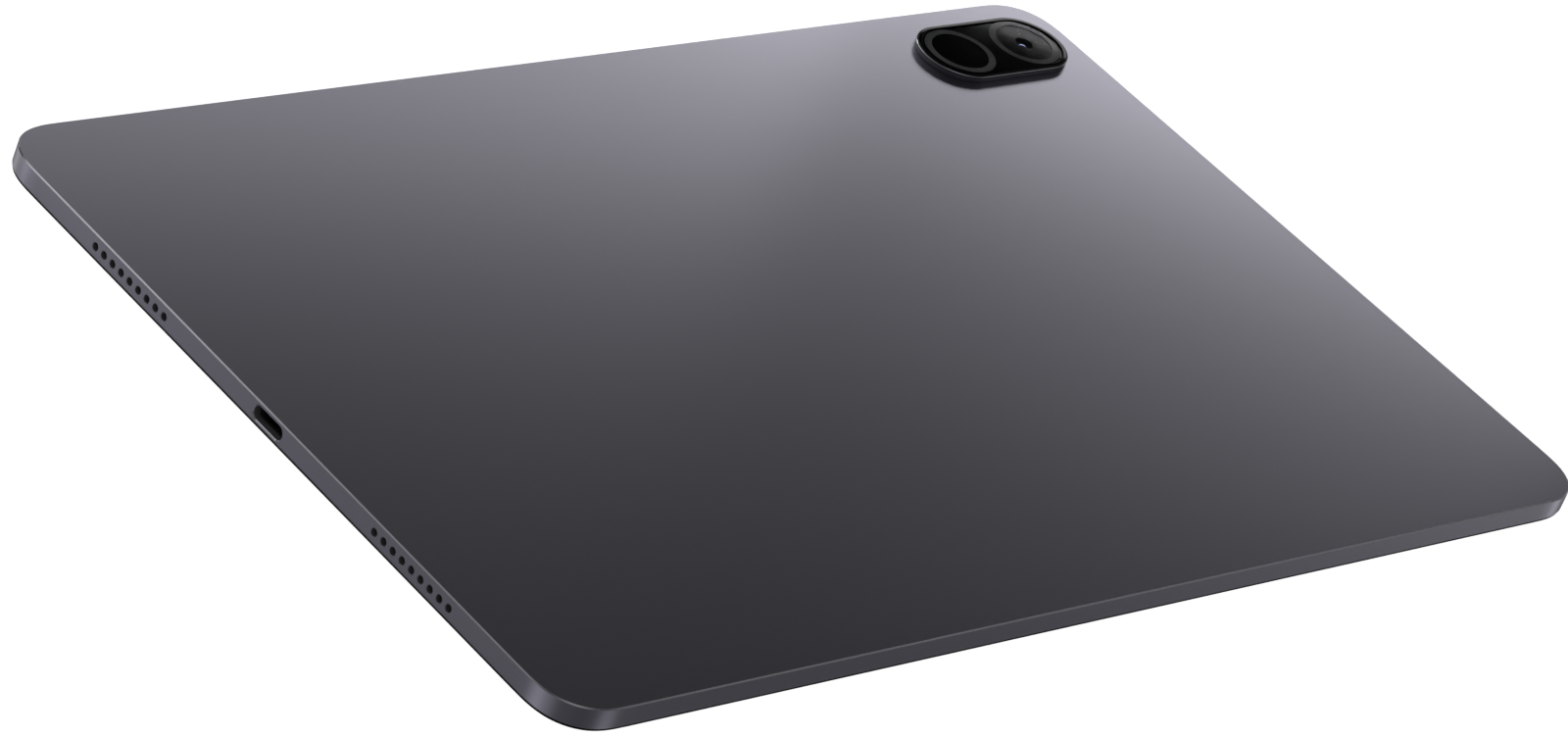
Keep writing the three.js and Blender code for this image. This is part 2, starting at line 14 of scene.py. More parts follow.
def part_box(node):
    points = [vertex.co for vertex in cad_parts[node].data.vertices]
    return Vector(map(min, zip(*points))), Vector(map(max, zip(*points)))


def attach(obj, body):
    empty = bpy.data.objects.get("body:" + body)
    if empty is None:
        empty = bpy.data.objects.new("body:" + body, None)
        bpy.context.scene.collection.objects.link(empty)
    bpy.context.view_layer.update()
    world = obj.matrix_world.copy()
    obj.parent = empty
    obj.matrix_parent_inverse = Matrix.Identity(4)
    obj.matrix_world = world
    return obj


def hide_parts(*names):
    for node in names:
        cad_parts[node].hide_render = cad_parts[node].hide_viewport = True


MM = 0.001

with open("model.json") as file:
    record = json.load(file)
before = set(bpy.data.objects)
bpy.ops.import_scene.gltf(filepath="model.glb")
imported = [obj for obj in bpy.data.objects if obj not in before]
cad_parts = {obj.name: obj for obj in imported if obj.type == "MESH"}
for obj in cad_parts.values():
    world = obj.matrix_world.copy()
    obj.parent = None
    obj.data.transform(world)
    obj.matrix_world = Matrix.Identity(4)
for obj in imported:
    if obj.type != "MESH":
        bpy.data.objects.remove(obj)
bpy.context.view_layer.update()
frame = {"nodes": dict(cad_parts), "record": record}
scene = bpy.context.scene


def box_mm(node):
    """A CAD node's lowest and highest corner, in millimetres."""
    low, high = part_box(node)
    return low / MM, high / MM


def centre_mm(node):
    low, high = box_mm(node)
    return (low + high) / 2


def middle_xy(node):
    """Where a CAD node's middle lies seen from above, in millimetres."""
    middle = centre_mm(node)
    return middle.x, middle.y


# ---------------------------------------------------------------- dimensions
SHELL_LOW, SHELL_HIGH = box_mm("rear_cover")
HALF_X, HALF_Y = SHELL_HIGH.x, SHELL_HIGH.y
SHELL_BOTTOM, BACK = SHELL_LOW.z, SHELL_HIGH.z
CORNER_RADIUS = 11.5
WALL = 1.7
BACK_THICKNESS = 0.75
CAVITY_TOP = BACK - BACK_THICKNESS
PORT_Z = centre_mm("usb_c_shell").z

GRILLE_HOLES = 9
GRILLE_PITCH = 2.775
GRILLE_RADIUS = 0.8
GRILLE_CHAMFER = 0.07
MICROPHONE_RADIUS = 0.5
MICROPHONE_CHAMFER = 0.08
EDGE_CUT = 0.24  # the bright cut round the back
OVERSHOOT = 0.6  # how far a cutting tool runs past what it cuts
SCREW_BOSS_RADIUS = 1.8
SCREW_BORE_RADIUS = 0.8

# Slots, caps and flanges are half lengths and half heights.
PORT_HOLE = (4.3, 1.4)
PORT_CHAMFER = 0.22
POWER_SLOT = (6.8, 1.05)
POWER_CAP = (6.5, 0.85)
POWER_FLANGE = (7.3, 1.25)
VOLUME_SLOT = (11.2, 1.05)
VOLUME_CAP = (10.8, 0.85)
VOLUME_FLANGE = (12, 1.25)
SLOT_CHAMFER = 0.12
FLANGE_THICKNESS = 0.5
FLANGE_ROUNDING = 0.06
POWER_FLANGE_DEPTH = 0.6  # from the wall's inner face to the flange's back
VOLUME_FLANGE_DEPTH = 0.85
VOLUME_NUB_REACH = 7  # how far from the key's middle its two nubs sit
KEY_PROUD = 0.35  # how far a key stands out of the wall
KEY_FILLET = 0.2

BEZEL_INSET = 0.2
BEZEL_GAP = 0.08  # between the metal's lower edge and the bezel
GLASS_INSET = 2.2
GLUE_GAP = 0.1
SCREEN_BORDER = 8.2
FRONT_CAMERA_RADIUS = 1.2
FRONT_PUPIL_RADIUS = 0.8
INK_BLUR = 0.05

ISLAND_BORE = (15.5, 5.3)
ISLAND_GAP = 0.06  # under the frame's lower edge
SPIGOT_WALL = 1.0
SPIGOT_FIT = 0.3
RING_WIDTH = 1.6
LENS_WINDOW_RADIUS = 2.0
LENS_PUPIL_RADIUS = 0.86
ISLAND_STACK_LIFT = 0.37

PORT_SHELL_WALL = 0.2
TONGUE_HALF_WIDTH = 3.345
TONGUE_HALF_THICKNESS = 0.35
TONGUE_REACH = 4.4  # from its tip to its root
CONTACTS = 12  # on each face of the tongue
LONG_CONTACTS = (0, 3, 8, 11)  # ground and power, which reach further forward
CONTACT_PITCH = 0.5
CONTACT_HALF_LENGTH = 1.6
CONTACT_HALF_WIDTH = 0.13

INNER_BEVEL = 0.05
INNER_BEVEL_ANGLE = 50

CORNER_STEPS = 36
CORNER_EASE = 25  # degrees over which a corner's curvature eases in, and out again
PILL_STEPS = 40
HOLE_STEPS = 28
SLOT_STEPS = 20
PORT_STEPS = 24
LENS_STEPS = 64
RING_STEPS = 96


# ---------------------------------------------------------------- outlines and rings
def rounded_rectangle(half_x, half_y, radius, steps):
    points = []
    for corner, (side_x, side_y) in enumerate(((1, 1), (-1, 1), (-1, -1), (1, -1))):
        for i in range(steps + 1):
            angle = math.pi / 2 * (corner + i / steps)
            x = side_x * (half_x - radius) + radius * math.cos(angle)
            y = side_y * (half_y - radius) + radius * math.sin(angle)
            points.append((x, y))
    return points


def pill(half_length, half_width, steps=PILL_STEPS):
    points = []
    for turn, side in enumerate((1, -1)):
        for i in range(steps + 1):
            angle = math.pi * (turn - 0.5 + i / steps)
            x = side * (half_length - half_width) + half_width * math.cos(angle)
            points.append((x, half_width * math.sin(angle)))
    return points


def circle(radius, steps):
    turns = [2 * math.pi * i / steps for i in range(steps)]
    return [(radius * math.cos(t), radius * math.sin(t)) for t in turns]


def rectangle(half_u, half_v):
    return [(half_u, half_v), (-half_u, half_v), (-half_u, -half_v), (half_u, -half_v)]


def soft_corner(radius, steps):
    """Points (along, across, turn) of a quarter turn with eased curvature, and its reach.

    The turn starts at the origin, along +x, and ends along +y. It passes as near to the outer
    corner as a plain arc of this radius does.
    """
    fine = 600
    share = CORNER_EASE / 90
    ramp = 2 * share / (1 + 2 * share)
    weights = []
    for i in range(fine):
        place = (i + 0.5) / fine
        weights.append(min(1, place / ramp, (1 - place) / ramp))
    turn_per_weight = math.pi / 2 / sum(weights)
    x = y = turn = 0.0
    path = [(0.0, 0.0, 0.0)]
    for weight in weights:
        step = weight * turn_per_weight
        x += math.cos(turn + step / 2) / fine
        y += math.sin(turn + step / 2) / fine
        turn += step
        path.append((x, y, turn))
    middle = path[fine // 2]
    gap = math.hypot(x - middle[0], middle[1])
    scale = (math.sqrt(2) - 1) * radius / gap
    chosen = []
    for k in range(steps + 1):
        wanted = math.pi / 2 * k / steps
        near = min(path, key=lambda point: abs(point[2] - wanted))
        chosen.append((near[0] * scale, near[1] * scale, near[2]))
    return chosen, x * scale


def body_outline(inset):
    """The tablet's outline seen from the back, drawn in by this much all round."""
    corner, reach = SOFT_CORNER
    points = []
    for along, across, turn in corner:
        x = HALF_X - reach + along - inset * math.sin(turn)
        y = -(HALF_Y - across) + inset * math.cos(turn)
        points.append((x, y))
    return corner_turns(points)


def corner_turns(points):
    """Repeats one corner's points round all four corners, anticlockwise."""
    mirrored = [(x, -y) for x, y in reversed(points)]
    opposite = [(-x, -y) for x, y in points]
    last = [(-x, y) for x, y in reversed(points)]
    return points + mirrored + opposite + last


SOFT_CORNER = soft_corner(CORNER_RADIUS, CORNER_STEPS)


def level(outline, z, centre=(0, 0)):
    return [(centre[0] + u, centre[1] + v, z) for u, v in outline]


def facing_x(outline, x, centre):
    return [(x, centre[0] + u, centre[1] + v) for u, v in outline]


def facing_y(outline, y, centre):
    return [(centre[0] + u, y, centre[1] + v) for u, v in outline]


# ---------------------------------------------------------------- meshes
class Shape:
    """A closed mesh being built, in millimetres."""

    def __init__(self):
        self.bm = bmesh.new()

    def loft(self, rings, closed=False, slots=None):
        """Joins rings of equally many points. A closed loft comes round to its first ring.

        slots holds each band's material slot, and the end cap's after them if it differs.
        """
        rows = [[self.bm.verts.new(point) for point in ring] for ring in rings]
        count = len(rows[0])
        bands = list(zip(rows, rows[1:]))
        if closed:
            bands.append((rows[-1], rows[0]))
        for k, (low, high) in enumerate(bands):
            for i in range(count):
                j = (i + 1) % count
                face = self.bm.faces.new((low[i], low[j], high[j], high[i]))
                face.material_index = slots[k] if slots else 0
        if not closed:
            first = self.bm.faces.new(list(reversed(rows[0])))
            last = self.bm.faces.new(rows[-1])
            first.material_index = slots[0] if slots else 0
            last.material_index = slots[-1] if slots else 0
        return self

    def lathe(self, profile, centre, steps, slots=None):
        """Turns (radius, z) stations round a vertical axis."""
        rings = [level(circle(radius, steps), z, centre) for radius, z in profile]
        return self.loft(rings, slots=slots)

    def block(self, low, high):
        centre = ((low[0] + high[0]) / 2, (low[1] + high[1]) / 2)
        outline = rectangle((high[0] - low[0]) / 2, (high[1] - low[1]) / 2)
        return self.loft([level(outline, low[2], centre), level(outline, high[2], centre)])

    def to_object(self, name, materials=()):
        bmesh.ops.recalc_face_normals(self.bm, faces=self.bm.faces)
        mesh = bpy.data.meshes.new(name)
        self.bm.to_mesh(mesh)
        self.bm.free()
        for surface in materials:
            mesh.materials.append(surface)
        obj = bpy.data.objects.new(name, mesh)
        scene.collection.objects.link(obj)
        return obj


def boolean(obj, tool_shape, operation="DIFFERENCE"):
    """Cuts the tool from obj, or joins it on, and keeps the result as obj's own mesh."""
    tool = tool_shape.to_object("tool", list(obj.data.materials))
    modifier = obj.modifiers.new("cut", "BOOLEAN")
    modifier.operation = operation
    modifier.solver = "EXACT"
    modifier.object = tool
    evaluated = obj.evaluated_get(bpy.context.evaluated_depsgraph_get())
    cut = bpy.data.meshes.new_from_object(evaluated)
    obj.modifiers.clear()
    old = obj.data
    obj.data = cut
    cut.name = obj.name
    bpy.data.meshes.remove(old)
    bpy.data.objects.remove(tool)


def finish_piece(obj, nodes, body="chassis", sharp=32):
    """Scales to metres, shades, and ties the piece to the frame.

    sharp is the angle, in degrees, above which an edge keeps a hard crease.
    """
    for vertex in obj.data.vertices:
        vertex.co *= MM
    obj.data.shade_smooth()
    obj.data.set_sharp_from_angle(angle=math.radians(sharp))
    weighted = obj.modifiers.new("shading", "WEIGHTED_NORMAL")
    weighted.keep_sharp = True
    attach(obj, body)
    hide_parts(*nodes)


# The shell's material slots, which the tools that cut it use too
METAL, CUT_EDGE, BORE = range(3)


def opening(shape, outline, facing, face, outward, chamfer, centre, rim=CUT_EDGE):
    """A tool for a chamfered hole through a wall. outline(growth) is the hole grown all round."""
    proud = 0.2
    stations = [
        (chamfer + proud, face + outward * proud),
        (0, face - outward * chamfer),
        (0, face - outward * (WALL + OVERSHOOT)),
    ]
    rings = [facing(outline(growth), place, centre) for growth, place in stations]
    shape.loft(rings, slots=[rim, BORE])


# ---------------------------------------------------------------- materials
def math_node(tree, operation, *values):
    """A math node's output. Each value is a number or another node's output."""
    made = tree.nodes.new("ShaderNodeMath")
    made.operation = operation
    for socket, value in zip(made.inputs, values):
        if isinstance(value, (int, float)):
            socket.default_value = value
        else:
            tree.links.new(value, socket)
    return made.outputs[0]


class Surface:
    """A procedural material on one Principled shader, with patterns in the object's own metres."""

    def __init__(self, name, color, roughness, metallic=0.0, **sockets):
        self.material = bpy.data.materials.new(name)
        self.material.use_nodes = True
        self.tree = self.material.node_tree
        self.shader = self.tree.nodes["Principled BSDF"]
        self.shader.inputs["Base Color"].default_value = (*color, 1)
        self.shader.inputs["Roughness"].default_value = roughness
        self.shader.inputs["Metallic"].default_value = metallic
        for socket, value in sockets.items():
            self.shader.inputs[socket.replace("_", " ")].default_value = value
        self.color = color
        self.roughness = roughness
        self.place = self.tree.nodes.new("ShaderNodeTexCoord").outputs["Object"]

    def node(self, kind, **settings):
        made = self.tree.nodes.new(kind)
        for key, value in settings.items():
            setattr(made, key, value)
        return made

    def link(self, source, target):
        self.tree.links.new(source, target)

    def noise(self, scale, detail=2.0, stretch=(1, 1, 1)):
        """Noise with this many cells per metre, as a value round 0.5."""
        texture = self.node("ShaderNodeTexNoise")
        texture.inputs["Scale"].default_value = scale
        texture.inputs["Detail"].default_value = detail
        mapping = self.node("ShaderNodeMapping")
        mapping.inputs["Scale"].default_value = stretch
        self.link(self.place, mapping.inputs["Vector"])
        self.link(mapping.outputs["Vector"], texture.inputs["Vector"])
        return texture.outputs["Fac"]

    def math(self, operation, *values):
        return math_node(self.tree, operation, *values)

    def remap(self, value, low, high, from_low=0.3, from_high=0.7):
        """Maps from_low..from_high onto low..high. Noise mostly lies in the default range."""
        made = self.node("ShaderNodeMapRange")
        made.inputs["From Min"].default_value = from_low
        made.inputs["From Max"].default_value = from_high
        made.inputs["To Min"].default_value = low
        made.inputs["To Max"].default_value = high
        self.link(value, made.inputs["Value"])
        return made.outputs["Result"]

    def blend(self, factor, first, second):
        """Mixes two colours, each a tuple or another node's output."""
        made = self.node("ShaderNodeMix", data_type="RGBA")
        color_a = next(s for s in made.inputs if s.name == "A" and s.type == "RGBA")
        color_b = next(s for s in made.inputs if s.name == "B" and s.type == "RGBA")
        for socket, value in ((color_a, first), (color_b, second)):
            if isinstance(value, tuple):
                socket.default_value = (*value, 1)
            else:
                self.link(value, socket)
        self.link(factor, made.inputs["Factor"])
        return next(s for s in made.outputs if s.type == "RGBA")

    def mottle(self, scale, amount, detail):
        """Lets the colour drift lighter and darker by this share."""
        darker = tuple(channel * (1 - amount) for channel in self.color)
        lighter = tuple(channel * (1 + amount) for channel in self.color)
        spread = self.remap(self.noise(scale, detail), 0, 1, 0.0, 1.0)
        self.link(self.blend(spread, darker, lighter), self.shader.inputs["Base Color"])
        return self

    def uneven(self, scale, amount, detail=3.0):
        """Lets the roughness drift by this much."""
        value = self.noise(scale, detail)
        low, high = self.roughness - amount, self.roughness + amount
        self.link(self.remap(value, low, high, 0.0, 1.0), self.shader.inputs["Roughness"])
        return self

    def bump(self, height, depth_mm):
        """Raises the surface by up to this depth where the height value is one."""
        made = self.node("ShaderNodeBump")
        made.inputs["Strength"].default_value = 1.0
        made.inputs["Distance"].default_value = depth_mm * MM
        self.link(height, made.inputs["Height"])
        self.link(made.outputs["Normal"], self.shader.inputs["Normal"])
        return self

    def grain(self, scale, depth_mm, stretch=(1, 1, 1)):
        """A fine bumpy grain, longer along the axes with the smaller stretch."""
        return self.bump(self.noise(scale, 1.0, stretch), depth_mm)


def simple(name, color, roughness, metallic, mottle, uneven, detail=3.0, **sockets):
    """A material whose colour and roughness drift gently, each by a (scale, amount)."""
    surface = Surface(name, color, roughness, metallic, **sockets)
    return surface.mottle(*mottle, detail).uneven(*uneven, detail)


anodised = simple(
    "space_grey_anodised", (0.232, 0.226, 0.268), 0.28, 1.0, (5, 0.01), (7, 0.004), detail=0.0
)
diamond_cut = simple("diamond_cut_edge", (0.5, 0.495, 0.53), 0.24, 1.0, (60, 0.03), (90, 0.02))
bore_metal = simple("bored_aluminium", (0.2, 0.2, 0.21), 0.6, 0.3, (800, 0.1), (900, 0.05))
bezel_black = simple(
    "bezel_black", (0.004, 0.004, 0.005), 0.5, 0.0, (300, 0.2), (500, 0.06),
    Specular_IOR_Level=0.08,
)
bezel_black.grain(6000, 0.001)
satin_black = simple("satin_black", (0.011, 0.011, 0.012), 0.34, 0.0, (300, 0.15), (500, 0.05))
satin_black.grain(6000, 0.001)
island_black = simple("island_black", (0.23, 0.23, 0.25), 0.36, 1.0, (300, 0.08), (500, 0.04))
lip_black = simple(
    "lip_black", (0.0015, 0.0015, 0.0018), 0.5, 0.0, (300, 0.2), (500, 0.05),
    Specular_IOR_Level=0.04,
)
frame_edge = simple("frame_edge", (0.5, 0.5, 0.52), 0.25, 1.0, (500, 0.06), (700, 0.04))
ring_grey = simple(
    "ring_grey", (0.012, 0.012, 0.0125), 0.45, 1.0, (300, 0.06), (500, 0.04),
    Specular_Tint=(0.7, 0.7, 0.7, 1), Coat_Weight=1.0, Coat_Roughness=0.05, Coat_IOR=1.13,
)
deco_black = simple(
    "deco_black", (0.0006, 0.0006, 0.0008), 0.05, 0.0, (300, 0.2), (200, 0.01), IOR=1.13,
)
camera_glass = simple(
    "camera_glass", (0.98, 0.98, 0.99), 0.01, 0.0, (80, 0.005), (60, 0.01),
    Transmission_Weight=1.0, IOR=1.01,
)
lens_coated = simple("lens_coated", (0.22, 0.26, 0.44), 0.04, 1.0, (900, 0.1), (600, 0.02))
lens_mask = simple("lens_mask", (0.004, 0.004, 0.005), 0.3, 0.0, (900, 0.2), (900, 0.05))
steel = simple("plated_steel", (0.5, 0.5, 0.51), 0.28, 1.0, (700, 0.08), (900, 0.08))
gold = simple("gold_contact", (0.75, 0.55, 0.22), 0.25, 1.0, (900, 0.08), (900, 0.06))


# ---------------------------------------------------------------- front glass material
def front_glass_material():
    """Black glass: an inked border, a faintly lighter display area and the front camera's dot."""
    surface = Surface("front_glass", (0.003, 0.003, 0.0035), 0.035, Coat_Weight=0.6)

    def within(measure, limit_mm):
        """One where the measure is below this limit and zero where it is above."""
        start, end = (limit_mm - INK_BLUR) * MM, (limit_mm + INK_BLUR) * MM
        return surface.remap(measure, 1, 0, start, end)

    split = surface.node("ShaderNodeSeparateXYZ")
    surface.link(surface.place, split.inputs[0])
    beyond = []
    for axis, half in (("X", HALF_X), ("Y", HALF_Y)):
        reach = surface.math("ABSOLUTE", split.outputs[axis])
        beyond.append(surface.math("SUBTRACT", reach, (half - SCREEN_BORDER) * MM))
    inside = within(surface.math("MAXIMUM", *beyond), 0)
    tone = surface.remap(surface.noise(30), 0.9, 1.1)
    lit = surface.math("MULTIPLY", inside, tone)
    display = surface.blend(lit, (0.0025, 0.0025, 0.003), (0.0065, 0.0068, 0.008))

    camera = centre_mm("front_camera_module")
    away = surface.node("ShaderNodeVectorMath", operation="DISTANCE")
    flat = surface.node("ShaderNodeCombineXYZ")
    surface.link(split.outputs["X"], flat.inputs[0])
    surface.link(split.outputs["Y"], flat.inputs[1])
    surface.link(flat.outputs[0], away.inputs[0])
    away.inputs[1].default_value = (camera.x * MM, camera.y * MM, 0)
    dot = within(away.outputs["Value"], FRONT_CAMERA_RADIUS)
    ringed = surface.blend(dot, display, (0.02, 0.021, 0.024))
    pupil = within(away.outputs["Value"], FRONT_PUPIL_RADIUS)
    color = surface.blend(pupil, ringed, (0.002, 0.003, 0.012))
    surface.link(color, surface.shader.inputs["Base Color"])
    return surface.uneven(50, 0.012)


front_glass = front_glass_material()


# ---------------------------------------------------------------- metal shell
def grille_tools(shape):
    for node in (
        "speaker_mesh_port_side_upper",
        "speaker_mesh_port_side_lower",
        "speaker_mesh_far_side_upper",
        "speaker_mesh_far_side_lower",
    ):
        middle = centre_mm(node)
        side = 1 if middle.x > 0 else -1
        for i in range(GRILLE_HOLES):
            y = middle.y + (i - (GRILLE_HOLES - 1) / 2) * GRILLE_PITCH
            opening(
                shape, lambda growth: circle(GRILLE_RADIUS + growth, HOLE_STEPS), facing_x,
                side * HALF_X, side, GRILLE_CHAMFER, (y, PORT_Z), rim=METAL,
            )


def pill_tool(shape, size, facing, face, outward, chamfer, along):
    """A tool for a pill-shaped slot, centred this far along its wall."""
    opening(
        shape, lambda growth: pill(size[0] + growth, size[1] + growth, SLOT_STEPS), facing,
        face, outward, chamfer, (along, PORT_Z),
    )


def shell_tools():
    shape = Shape()
    grille_tools(shape)
    power = centre_mm("power_button")
    volume = centre_mm("volume_rocker")
    pill_tool(shape, PORT_HOLE, facing_x, -HALF_X, -1, PORT_CHAMFER, 0)
    pill_tool(shape, POWER_SLOT, facing_x, HALF_X, 1, SLOT_CHAMFER, power.y)
    pill_tool(shape, VOLUME_SLOT, facing_y, HALF_Y, 1, SLOT_CHAMFER, volume.x)
    microphone = centre_mm("top_microphone")
    opening(
        shape, lambda growth: circle(MICROPHONE_RADIUS + growth, SLOT_STEPS), facing_y,
        HALF_Y, 1, MICROPHONE_CHAMFER, (microphone.x, PORT_Z),
    )
    growth = SPIGOT_WALL + SPIGOT_FIT
    cut = pill(ISLAND_BORE[0] + growth, ISLAND_BORE[1] + growth)
    stations = (CAVITY_TOP - OVERSHOOT, BACK + OVERSHOOT)
    shape.loft([level(cut, z, middle_xy("camera_island_frame")) for z in stations])
    return shape


def boss_shape():
    """The bosses that the boards' screws go into, from the boards up into the back."""
    shape = Shape()
    boards = {"main_board_screw": "main_board", "usb_board_screw": "usb_board"}
    edge = 0.1
    for node in frame["nodes"]:
        family = node.rpartition("_")[0]
        if family in boards:
            foot = box_mm(boards[family])[1].z + edge
            profile = [
                (SCREW_BORE_RADIUS, CAVITY_TOP - edge), (SCREW_BORE_RADIUS, foot + edge),
                (SCREW_BORE_RADIUS + edge, foot), (SCREW_BOSS_RADIUS - edge, foot),
                (SCREW_BOSS_RADIUS, foot + edge), (SCREW_BOSS_RADIUS, CAVITY_TOP + edge),
            ]
            shape.lathe(profile, middle_xy(node), HOLE_STEPS)
    return shape


def build_shell():
    profile = [
        (WALL, CAVITY_TOP), (WALL, SHELL_BOTTOM), (0.14, SHELL_BOTTOM),
        (0.04, SHELL_BOTTOM + 0.04), (0, SHELL_BOTTOM + 0.12),
        (0, BACK - EDGE_CUT), (EDGE_CUT, BACK),
    ]
    slots = [METAL] * 5 + [CUT_EDGE, METAL]
    shape = Shape()
    shape.loft([level(body_outline(inset), z) for inset, z in profile], slots=slots)
    surfaces = [anodised.material, diamond_cut.material, bore_metal.material]
    shell = shape.to_object("aluminium_shell", surfaces)
    boolean(shell, boss_shape(), "UNION")
    boolean(shell, shell_tools())
    finish_piece(shell, ["rear_cover"])


build_shell()


# ---------------------------------------------------------------- bezel and front glass
def build_bezel():
    """The black frame: its underside slopes in to the glass, and its shelf carries the display."""
    low, high = box_mm("bezel_frame")
    bottom, rib_top = low.z, high.z
    top = SHELL_BOTTOM - BEZEL_GAP
    shelf = box_mm("cover_glass")[1].z + GLUE_GAP
    inner = GLASS_INSET - 0.1
    profile = [
        (inner, bottom + 0.15), (0.35, 1.3), (0.22, 1.38), (BEZEL_INSET, 1.46),
        (BEZEL_INSET, top - 0.08), (0.24, top - 0.02), (0.3, top),
        (1.8, top), (1.8, rib_top), (2.6, rib_top), (2.6, top), (4.2, top), (4.2, shelf),
        (inner, shelf),
    ]
    rings = [level(body_outline(inset), z) for inset, z in profile]
    shape = Shape()
    shape.loft(rings, closed=True)
    bezel = shape.to_object("bezel_band", [bezel_black.material])
    camera_low, camera_high = box_mm("front_camera_module")
    notch = Shape()
    notch.block(
        (camera_low.x - 0.4, camera_low.y - 2, 0), (camera_high.x + 0.4, HALF_Y - WALL, BACK)
    )
    boolean(bezel, notch)
    finish_piece(bezel, ["bezel_frame"])


def build_front_glass():
    """A sheet whose face curves up to its edge."""
    top = box_mm("cover_glass")[1].z
    profile = [
        (4.6, 0), (4.1, 0.04), (3.6, 0.16), (3.1, 0.32), (2.6, 0.5), (2.25, 0.63),
        (GLASS_INSET, 0.68), (GLASS_INSET, top - 0.04), (GLASS_INSET + 0.04, top),
    ]
    shape = Shape()
    shape.loft([level(body_outline(inset), z) for inset, z in profile])
    glass = shape.to_object("front_glass", [front_glass.material])
    finish_piece(glass, ["cover_glass"], sharp=40)


build_bezel()
build_front_glass()


# ---------------------------------------------------------------- camera island
def lifted(node):
    """The box of a piece under the island's glass, raised to the glass's thin visible skin."""
    low, high = box_mm(node)
    return low + Vector((0, 0, ISLAND_STACK_LIFT)), high + Vector((0, 0, ISLAND_STACK_LIFT))


def island_rings(half, stations):
    """Pill rings round the island's middle, one for each (inset, z)."""
    middle = middle_xy("camera_island_frame")
    return [level(pill(half.x - inset, half.y - inset), z, middle) for inset, z in stations]


def build_island_frame():
    low, high = box_mm("camera_island_frame")
    half = (high - low) / 2
    top = high.z
    base = BACK + ISLAND_GAP
    glass_low, glass_high = box_mm("camera_cover_glass")
    seat_inset = half.y - (glass_high.y - glass_low.y) / 2 - 0.1
    seat = box_mm("camera_deco_plate")[0].z - 0.05
    bore_inset = half.y - ISLAND_BORE[1]
    outside = [
        (0.06, base), (0, base + 0.1), (0, top - 0.32), (0.1, top - 0.2),
        (0.16, top - 0.15), (0.28, top - 0.06), (0.45, top),
    ]
    inside = [
        (seat_inset - 0.1, top), (seat_inset, top - 0.08), (seat_inset, seat), (bore_inset, seat),
        (bore_inset, low.z), (bore_inset - SPIGOT_WALL, low.z), (bore_inset - SPIGOT_WALL, base),
    ]
    wall, edge, dark, rim = range(4)
    slots = [wall, wall, edge, dark, dark, dark, rim] + [dark] * len(inside)
    shape = Shape()
    shape.loft(island_rings(half, outside + inside), closed=True, slots=slots)
    surfaces = [island_black.material, frame_edge.material, lip_black.material, deco_black.material]
    piece = shape.to_object("island_frame", surfaces)
    finish_piece(piece, ["camera_island_frame"], sharp=36)


def build_island_glass():
    low, high = box_mm("camera_cover_glass")
    underside = lifted("camera_ring_lens")[1].z + 0.01
    profile = [(0, underside), (0, high.z - 0.01), (0.01, high.z)]
    shape = Shape()
    shape.loft(island_rings((high - low) / 2, profile))
    piece = shape.to_object("island_glass", [camera_glass.material])
    finish_piece(piece, ["camera_cover_glass"], sharp=50)


def build_deco_plate():
    low, high = lifted("camera_deco_plate")
    shape = Shape()
    profile = [(0, low.z), (0, high.z - 0.04), (0.04, high.z)]
    shape.loft(island_rings((high - low) / 2, profile))
    plate = shape.to_object("deco_plate", [deco_black.material])
    radius = LENS_WINDOW_RADIUS
    profile = [(radius, low.z - 1), (radius, high.z - 0.08), (radius + 0.28, high.z + 0.2)]
    window = Shape()
    window.lathe(profile, middle_xy("rear_camera_lens"), LENS_STEPS)
    boolean(plate, window)
    finish_piece(plate, ["camera_deco_plate"])


def build_ring(node):
    low, high = lifted(node)
    outer = (high.x - low.x) / 2
    inner = outer - RING_WIDTH
    profile = [
        (outer, low.z), (outer, high.z - 0.03), (outer - 0.03, high.z),
        (inner + 0.03, high.z), (inner, high.z - 0.03), (inner, low.z),
    ]
    middle = middle_xy(node)
    shape = Shape()
    shape.loft([level(circle(r, RING_STEPS), z, middle) for r, z in profile], closed=True)
    piece = shape.to_object(node.replace("camera_", "island_"), [ring_grey.material])
    finish_piece(piece, [node])


def build_barrel():
    """The lens barrel, with a black throat that steps down to the lens."""
    low, high = lifted("rear_camera_barrel")
    bottom, top = low.z, high.z
    outer = (high.x - low.x) / 2
    profile = [
        (0.01, bottom), (outer - 0.1, bottom), (outer, bottom + 0.1), (outer, top - 0.1),
        (outer - 0.1, top), (2.45, top), (2.4, top - 0.07), (2.28, top - 0.07),
        (2.24, top - 0.15), (2.12, top - 0.15), (2.08, top - 0.25), (2, top - 0.25),
        (1.98, top - 0.85), (0.01, top - 0.85),
    ]
    shape = Shape()
    shape.lathe(profile, middle_xy("rear_camera_barrel"), LENS_STEPS)
    piece = shape.to_object("lens_barrel", [lens_mask.material])
    finish_piece(piece, ["rear_camera_barrel"], sharp=25)


def build_lens():
    """The front lens: a black mounting ring round a coated dome."""
    low, high = lifted("rear_camera_lens")
    bottom, crown = low.z, high.z
    dome_base = bottom + 0.28
    profile = [
        (0.01, bottom), (1.9, bottom), (1.9, bottom + 0.2), (1.8, dome_base),
        (1.3, bottom + 0.3), (0.95, bottom + 0.24), (0.88, bottom + 0.26),
    ]
    glass, mask = range(2)
    slots = [mask] * (len(profile) - 1)
    steps = 8
    for i in range(steps):
        turn = math.pi / 2 * i / steps
        height = dome_base + (crown - dome_base) * math.sin(turn)
        profile.append((LENS_PUPIL_RADIUS * math.cos(turn), height))
        slots.append(mask if i == 0 else glass)
    profile.append((0.02, crown))
    slots.append(glass)
    shape = Shape()
    shape.lathe(profile, middle_xy("rear_camera_barrel"), LENS_STEPS, slots=slots)
    piece = shape.to_object("lens_element", [lens_coated.material, lens_mask.material])
    finish_piece(piece, ["rear_camera_lens"], sharp=40)


